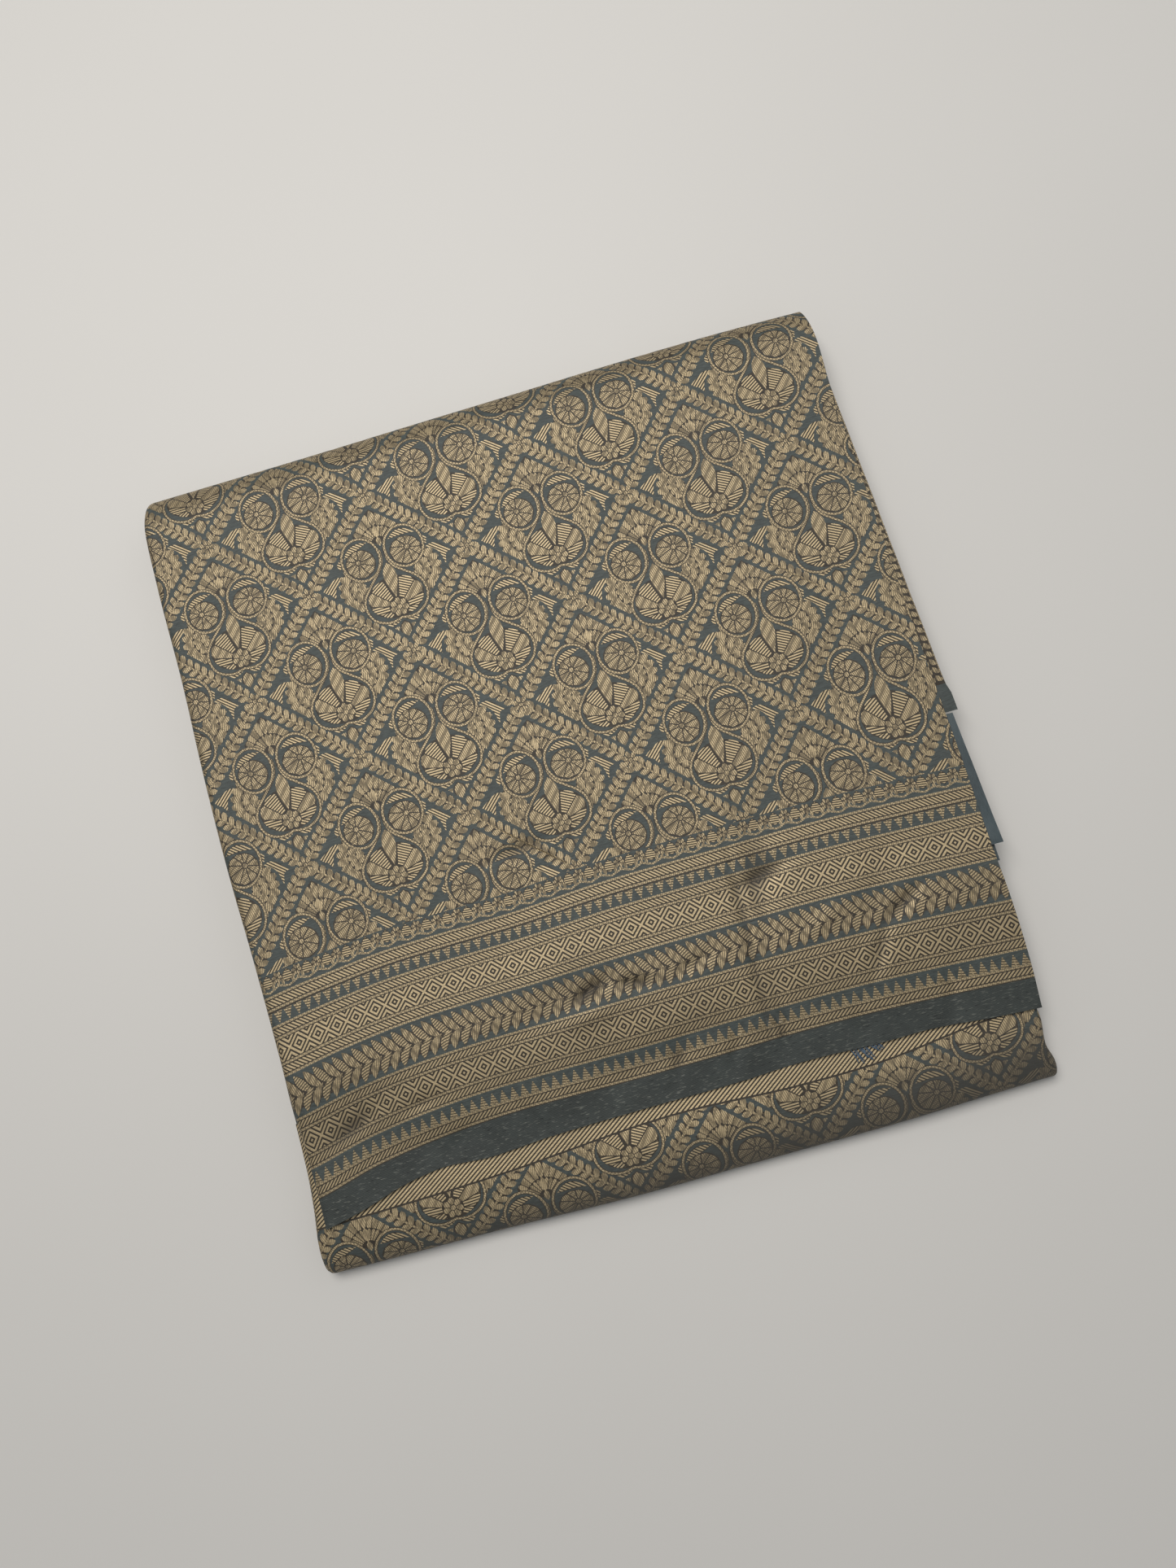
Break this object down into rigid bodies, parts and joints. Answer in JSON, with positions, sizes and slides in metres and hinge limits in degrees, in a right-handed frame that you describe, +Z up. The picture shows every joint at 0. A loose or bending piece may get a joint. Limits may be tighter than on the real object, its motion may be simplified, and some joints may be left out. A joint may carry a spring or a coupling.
{
  "type": "folded sari",
  "caption": "Brocade silk sari folded into a flat rectangular packet: floral field, woven border bands, dark selvage edge and a soft rolled front fold.",
  "frame": {"origin": "middle of the packet, on the surface that it lies on", "axes": "+X along the border to the right, +Y away from the free selvage edge towards the far fold, +Z up"},
  "size_m": [0.35, 0.3852, 0.024],
  "materials": {
    "brocade": "silk brocade, antique gold metallic weft on a slate teal ground",
    "layer_edges": "stacked folded edges of the same brocade",
    "plain_silk": "plain slate teal silk with a soft sheen",
    "selvage": "dark teal twill selvage",
    "thread": "blue sewing thread"
  },
  "bodies": {
    "root": {"top_ply": "brocade", "underside_ply": "brocade", "front_roll": "brocade", "inner_layers": "layer_edges", "side_ply": "brocade", "plain_end": "plain_silk", "plain_end_under": "plain_silk"}
  },
  "joints": []
}
